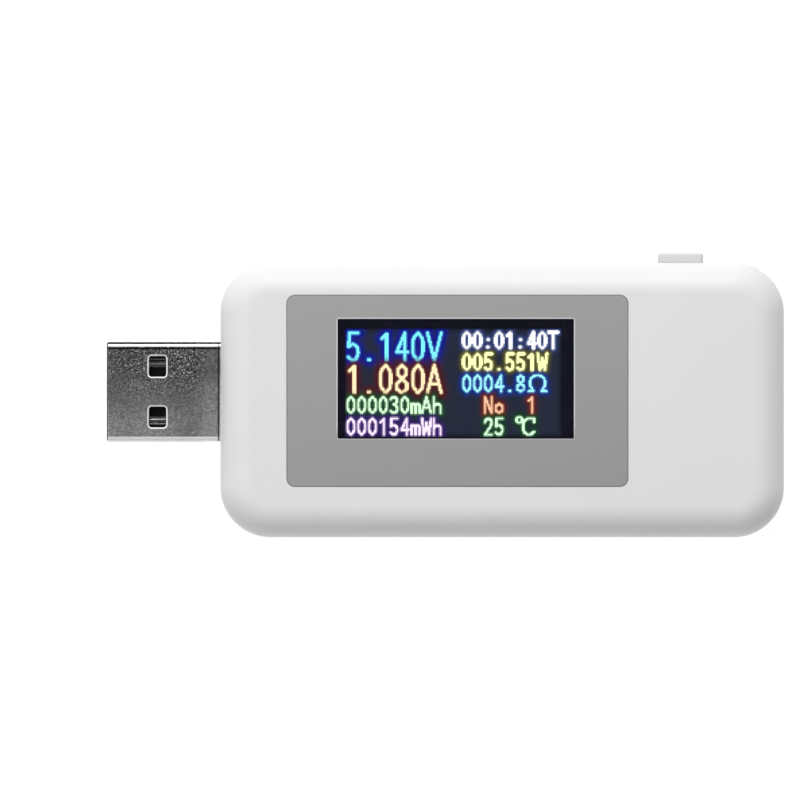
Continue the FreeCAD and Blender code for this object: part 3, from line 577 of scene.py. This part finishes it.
# Each reading: its signs, its column and row, and its form and colours
smallSign = dict(width=8, stretch=(1.0, 1.0), drop=0.0, halfStroke=0.8, glowReach=2.6)
boldSign = dict(width=8, stretch=(1.0, 1.0), drop=0.0, halfStroke=1.02, glowReach=2.2)
tallSign = dict(width=12, stretch=(1.5, 1.7), drop=-0.9, halfStroke=1.05, glowReach=3.8)
readings = [
    dict(signs="5.140V", column=0, row=0, form=tallSign, core=(124, 236, 255), glow=(4, 14, 140)),
    dict(signs="1.080A", column=0, row=24, form=tallSign, core=(255, 232, 186), glow=(74, 12, 14)),
    dict(signs="000030mAh", column=0, row=48, form=smallSign, core=(214, 255, 212), glow=(6, 60, 20)),
    dict(signs="000154mWh", column=0, row=64, form=smallSign, core=(252, 230, 255), glow=(46, 12, 100)),
    dict(signs="00:01:40T", column=86, row=0, form=boldSign, core=(250, 252, 255), glow=(44, 62, 118)),
    dict(signs="005.551W", column=86, row=16, form=boldSign, core=(250, 255, 186), glow=(82, 80, 8)),
    dict(signs="0004.8", column=86, row=32, form=smallSign, core=(160, 244, 255), glow=(4, 44, 132)),
    dict(signs=["ohm"], column=134, row=32, form=smallSign, core=(160, 244, 255), glow=(4, 44, 132)),
    dict(signs="No  1", column=102, row=48, form=smallSign, core=(255, 196, 158), glow=(90, 22, 10)),
    dict(signs="25", column=102, row=64, form=smallSign, core=(210, 255, 212), glow=(8, 60, 22)),
    dict(signs=["celsius"], column=126, row=64, form=smallSign, core=(210, 255, 212), glow=(8, 60, 22)),
]


def strokeEnds(reading):
    # every straight stroke of a reading, in display dots, as rows of x0, y0, x1, y1
    form = reading["form"]
    across, down = form["stretch"]
    rows = []
    for i, sign in enumerate(reading["signs"]):
        left = reading["column"] + i * form["width"]
        top = reading["row"] + form["drop"]
        for stroke in signStrokes.get(sign, []):
            for (x0, y0), (x1, y1) in zip(stroke, stroke[1:]):
                rows.append((left + x0 * across, top + y0 * down, left + x1 * across, top + y1 * down))
    return np.array(rows) + 0.5


def distanceToStrokes(points, ends):
    start = ends[:, 0:2]
    run = ends[:, 2:4] - start
    offset = points[:, None, :] - start[None, :, :]
    share = (offset * run).sum(2) / np.maximum((run * run).sum(1), 1e-9)
    gap = offset - np.clip(share, 0, 1)[:, :, None] * run
    return np.sqrt((gap * gap).sum(2)).min(1)


def pictureColours(points):
    # linear colour of each display dot whose middle is at points, counted from the top left
    wide, high = picture["dots"]
    ground = np.array(linear(*picture["ground"]))
    border = np.array(linear(*picture["border"]))
    inside = np.minimum.reduce([points[:, 0], wide - points[:, 0], points[:, 1], high - points[:, 1]])
    fade = np.clip(inside / picture["edgeFade"] + picture["edgeShade"], 0, 1)[:, None]
    colours = border + (ground - border) * fade
    for reading in readings:
        form = reading["form"]
        distance = distanceToStrokes(points, strokeEnds(reading))
        beyond = np.clip(distance - form["halfStroke"], 0, None)
        halo = np.exp(-((beyond / form["glowReach"]) ** 2))[:, None]
        near = np.exp(-((beyond / picture["bloomReach"]) ** 2))[:, None] * picture["bloomShare"]
        lit = (distance <= form["halfStroke"])[:, None]
        core = np.array(linear(*reading["core"]))
        colours = colours * (1 - halo) + np.array(linear(*reading["glow"])) * halo
        colours = np.where(lit, core, colours + core * near)
    return colours


def makeDisplay():
    # a grid of dots, widened to the polariser's outline and given its thickness
    filmLow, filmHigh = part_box("front_polariser")
    lensLow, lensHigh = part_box("window_lens")
    wide, high = picture["dots"]
    width, height = wide * picture["pitch"], high * picture["pitch"]
    left = lensLow.x + picture["lensLap"] + picture["inset"][0]
    top = lensHigh.y - picture["lensLap"] - picture["inset"][1]
    middle = Vector((left + width / 2, top - height / 2, filmHigh.z))
    bpy.ops.mesh.primitive_grid_add(x_subdivisions=wide, y_subdivisions=high, size=1, location=middle)
    piece = bpy.context.object
    piece.scale = (width, height, 1)
    bpy.ops.object.transform_apply(location=True, rotation=True, scale=True)
    editAll(piece)
    bpy.ops.mesh.region_to_loop()
    bpy.ops.mesh.extrude_region_move()
    filmSize = filmHigh - filmLow
    filmMiddle = (filmHigh + filmLow) / 2
    grow = (filmSize.x / width, filmSize.y / height, 1)
    bpy.ops.transform.resize(value=grow, center_override=middle)
    bpy.ops.transform.translate(value=(filmMiddle.x - middle.x, filmMiddle.y - middle.y, 0))
    bpy.ops.mesh.extrude_region_move(TRANSFORM_OT_translate={"value": (0, 0, -filmSize.z)})
    bpy.ops.mesh.edge_face_add()
    bpy.ops.mesh.select_all(action="SELECT")
    bpy.ops.mesh.normals_make_consistent(inside=False)
    leaveEdit(piece, "display_picture")
    paintDisplay(piece, left, top)
    piece.data.materials.append(paintedPicture("pictureFinish", pictureLook))
    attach(piece, "casing")
    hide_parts("front_polariser")
    return piece


def paintDisplay(piece, left, top):
    mesh = piece.data
    middles = np.zeros(len(mesh.polygons) * 3)
    mesh.polygons.foreach_get("center", middles)
    middles = middles.reshape(-1, 3)
    points = np.empty((len(middles), 2))
    points[:, 0] = (middles[:, 0] - left) / picture["pitch"]
    points[:, 1] = (top - middles[:, 1]) / picture["pitch"]
    colours = pictureColours(points)
    areas = np.zeros(len(mesh.polygons))
    mesh.polygons.foreach_get("area", areas)
    colours[areas > picture["largestDot"] * picture["pitch"] ** 2] = linear(*picture["border"])
    counts = np.zeros(len(mesh.polygons), int)
    mesh.polygons.foreach_get("loop_total", counts)
    perCorner = np.repeat(np.hstack([colours, np.ones((len(colours), 1))]), counts, axis=0)
    layer = mesh.color_attributes.new("pictureColour", "FLOAT_COLOR", "CORNER")
    layer.data.foreach_set("color", perCorner.ravel())


# The thin bright edge round the window: a pale ring in the panel's bevel that is a painted highlight, with
# painted shade on its bottom side
rim = {"bevel": 0.18 * mm, "play": 0.01 * mm, "lensLap": 0.4 * mm, "soften": 0.02 * mm}


def makeWindowHighlightRim():
    # a plane over the window, hollowed, its inner edge drawn down and bridged back along the panel's bevel
    lensLow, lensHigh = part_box("window_lens")
    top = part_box("display_panel")[1].z - rim["play"]
    middle = (lensLow + lensHigh) / 2
    width = lensHigh.x - lensLow.x - 2 * rim["lensLap"]
    height = lensHigh.y - lensLow.y - 2 * rim["lensLap"]
    wide = rim["bevel"] - 2 * rim["play"]
    bpy.ops.object.select_all(action="DESELECT")
    bpy.ops.mesh.primitive_plane_add(size=1, location=(middle.x, middle.y, top))
    piece = bpy.context.object
    piece.scale = (width + 2 * wide, height + 2 * wide, 1)
    bpy.ops.object.transform_apply(location=True, rotation=True, scale=True)
    editAll(piece)
    bpy.ops.mesh.inset(thickness=wide, depth=0)
    bpy.ops.mesh.delete(type="FACE")

    def inner(point):
        return max(abs(point.x - middle.x) - width / 2, abs(point.y - middle.y) - height / 2) < wide / 2

    pickEdges(piece, lambda ends: all(inner(end) for end in ends))
    bpy.ops.mesh.extrude_region_move(TRANSFORM_OT_translate={"value": (0, 0, -wide)})
    pickEdges(piece, lambda ends: all(end.z < top - wide / 2 for end in ends)
              or all(end.z > top - wide / 2 and not inner(end) for end in ends))
    bpy.ops.mesh.bridge_edge_loops()
    bpy.ops.mesh.select_all(action="SELECT")
    bpy.ops.mesh.normals_make_consistent(inside=False)
    leaveEdit(piece, "window_highlight_rim")
    addModifier(piece, "BEVEL", width=rim["soften"], segments=2, limit_method="ANGLE")
    piece.data.materials.append(finishes["rim_white"])
    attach(piece, "casing")


makeWindowHighlightRim()


# The rounded crests along the plug's contacts; a corner nearer a cut than cutReach is pulled onto it
crest = {"radius": 0.82 * mm, "rise": 0.16 * mm, "stripTop": 0.83 * mm, "setback": 0.35 * mm,
         "rearGap": 6.2 * mm, "tipWidth": 0.6, "sides": 96, "cutReach": 0.001 * mm}


def makeCrest():
    # a bar cut down to the top of its round and narrowed towards the plug's tip
    low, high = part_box("plug_contact_data_plus")
    start, end = low.x + crest["setback"], high.x - crest["rearGap"]
    bottom = low.z + crest["stripTop"]
    middle = Vector(((start + end) / 2, (low.y + high.y) / 2, bottom + crest["rise"] - crest["radius"]))
    bpy.ops.object.select_all(action="DESELECT")
    bpy.ops.mesh.primitive_cylinder_add(
        vertices=crest["sides"], radius=crest["radius"], depth=end - start,
        location=middle, rotation=(0, math.radians(90), 0))
    piece = bpy.context.object
    bpy.ops.object.transform_apply(location=True, rotation=True, scale=True)
    editAll(piece)
    bpy.ops.mesh.bisect(plane_co=(middle.x, middle.y, bottom), plane_no=(0, 0, 1), clear_inner=True,
                        threshold=crest["cutReach"])
    bpy.ops.mesh.select_all(action="DESELECT")
    bpy.ops.mesh.select_mode(type="EDGE")
    bpy.ops.mesh.select_non_manifold()
    bpy.ops.mesh.edge_face_add()
    pickFaces(piece, lambda face: face.normal.x < -0.9)
    bpy.ops.transform.resize(value=(1, crest["tipWidth"], crest["tipWidth"]),
                             center_override=(start, middle.y, bottom))
    bpy.ops.mesh.select_all(action="SELECT")
    bpy.ops.mesh.normals_make_consistent(inside=False)
    leaveEdit(piece, "plug_crest_data_plus")
    smoothByAngle(piece)
    piece.data.materials.append(finishes["plug_contact"])
    return piece


def placeCrests(first):
    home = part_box("plug_contact_data_plus")[0]
    crests = [first]
    for name in contactNames:
        if name != "data_plus":
            made = copyPiece(first, "plug_crest_" + name)
            moveMesh(made, (0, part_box("plug_contact_" + name)[0].y - home.y, 0))
            crests.append(made)
    for piece in crests:
        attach(piece, "casing")


placeCrests(makeCrest())
print("window rim and contact crests made")


dome = {"rings": 24, "segments": 48, "thickness": 0.08 * mm, "softEdge": 0.02 * mm, "rimLift": 0.055 * mm,
        "cutReach": 0.001 * mm, "pressed": 0.5}


def makeSnapDome():
    # a ball cut down to its cap, turned to face the button and given the disc's thickness
    low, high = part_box("switch_dome")
    middle = (low + high) / 2
    reach, rise = (high.x - low.x) / 2, high.y - low.y
    radius = (reach ** 2 + rise ** 2) / (2 * rise)
    centre = Vector((middle.x, high.y - radius, middle.z))
    bpy.ops.object.select_all(action="DESELECT")
    bpy.ops.mesh.primitive_uv_sphere_add(segments=dome["segments"], ring_count=dome["rings"], radius=radius,
                                         location=centre, rotation=(math.radians(-90), 0, 0))
    piece = bpy.context.object
    bpy.ops.object.transform_apply(location=True, rotation=True, scale=True)
    editAll(piece)
    bpy.ops.mesh.bisect(plane_co=(middle.x, low.y + dome["rimLift"], middle.z), plane_no=(0, 1, 0),
                        clear_inner=True, threshold=dome["cutReach"])
    bpy.ops.mesh.select_all(action="SELECT")
    bpy.ops.mesh.normals_make_consistent(inside=False)
    leaveEdit(piece, "snap_dome")
    addModifier(piece, "SOLIDIFY", thickness=dome["thickness"], offset=-1)
    addModifier(piece, "BEVEL", width=dome["softEdge"], segments=2, limit_method="ANGLE")
    smoothByAngle(piece)
    piece.data.materials.append(finishes["spring_steel"])
    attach(piece, "casing")
    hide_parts("switch_dome")
    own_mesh(piece)


makeSnapDome()
print("snap dome made")

display = makeDisplay()
print("display painted with", len(readings), "readings,", len(display.data.polygons), "faces")


studio = {
    "floorSize": 8.0,
    "floorGap": 0.05 * mm,
    "floorColour": (0.14, 0.14, 0.14),
    "floorShade": (0.15, 0.15, 0.15),
    "floorCloud": 40,
    "floorRoughness": 0.9,
    "floorGlow": 0.92,
    "worldLight": 0.11,
    "leftHorizon": 0.9,
    "rightHorizon": 0.08,
    "horizonFade": 0.4,
    "cameraHeight": 2.5,
    "viewMiddle": (-12.3 * mm, 0.0),
    "viewWidth": 96.4 * mm,
    "sensor": 36.0,
    "farthest": 10,
}
# Each lamp: where it stands round the object, its size, and its power
lamps = {
    "keyLamp": dict(azimuth=95, elevation=42, distance=0.6, size=0.3, power=2.64),
    "leftLamp": dict(azimuth=180, elevation=62, distance=0.6, size=0.25, power=0.78),
    "rightLamp": dict(azimuth=0, elevation=62, distance=0.6, size=0.25, power=0.4),
    "fillLamp": dict(azimuth=270, elevation=45, distance=0.6, size=0.5, power=0.27),
}


def makeFloor():
    level = caseLow.z - studio["floorGap"]
    bpy.ops.mesh.primitive_plane_add(size=studio["floorSize"], location=(0, 0, level))
    floor = bpy.context.object
    bpy.ops.object.transform_apply(location=True, rotation=True, scale=True)
    floor.name = "floor"
    finish = Finish("floorFinish", Roughness=studio["floorRoughness"],
                    Emission_Strength=studio["floorGlow"])
    cloud = finish.noise(studio["floorCloud"])
    finish.set("Base Color", finish.blend(cloud, studio["floorColour"], studio["floorShade"]))
    finish.set("Emission Color", (1, 1, 1, 1))
    floor.data.materials.append(finish.material)


def makeLamp(name, lamp):
    turn, lift = math.radians(lamp["azimuth"]), math.radians(lamp["elevation"])
    way = Vector((math.cos(turn) * math.cos(lift), math.sin(turn) * math.cos(lift), math.sin(lift)))
    bpy.ops.object.light_add(type="AREA", location=caseMiddle + way * lamp["distance"])
    made = bpy.context.object
    made.name = name
    made.data.size = lamp["size"]
    made.data.energy = lamp["power"]
    made.rotation_euler = way.to_track_quat("Z", "Y").to_euler()


def worldRange(tree, interpolation, values):
    made = tree.nodes.new("ShaderNodeMapRange")
    made.interpolation_type = interpolation
    for name, value in values.items():
        made.inputs[name].default_value = value
    return made


def makeWorld():
    # dim overhead and brighter towards the horizon, as a room is, most of all to the left
    world = bpy.data.worlds.new("studioWorld")
    world.use_nodes = True
    tree = world.node_tree
    direction = tree.nodes.new("ShaderNodeTexCoord")
    parts = tree.nodes.new("ShaderNodeSeparateXYZ")
    sides = {"From Min": -1, "To Min": studio["leftHorizon"], "To Max": studio["rightHorizon"]}
    horizon = worldRange(tree, "LINEAR", sides)
    rise = {"From Max": studio["horizonFade"], "To Max": studio["worldLight"]}
    sky = worldRange(tree, "SMOOTHSTEP", rise)
    tree.links.new(direction.outputs["Generated"], parts.inputs["Vector"])
    tree.links.new(parts.outputs["X"], horizon.inputs["Value"])
    tree.links.new(parts.outputs["Z"], sky.inputs["Value"])
    tree.links.new(horizon.outputs["Result"], sky.inputs["To Min"])
    tree.links.new(sky.outputs["Result"], tree.nodes["Background"].inputs["Color"])
    bpy.context.scene.world = world


def makeCamera():
    x, y = studio["viewMiddle"]
    bpy.ops.object.camera_add(location=(x, y, studio["cameraHeight"]), rotation=(0, 0, 0))
    camera = bpy.context.object
    camera.data.sensor_width = studio["sensor"]
    reach = studio["cameraHeight"] - caseMiddle.z
    camera.data.lens = studio["sensor"] * reach / studio["viewWidth"]
    camera.data.clip_end = studio["farthest"]
    bpy.context.scene.camera = camera


makeFloor()
for name, lamp in lamps.items():
    makeLamp(name, lamp)
makeWorld()
makeCamera()
bpy.context.scene.view_settings.view_transform = "Standard"
print("studio ready")

bpy.context.view_layer.update()
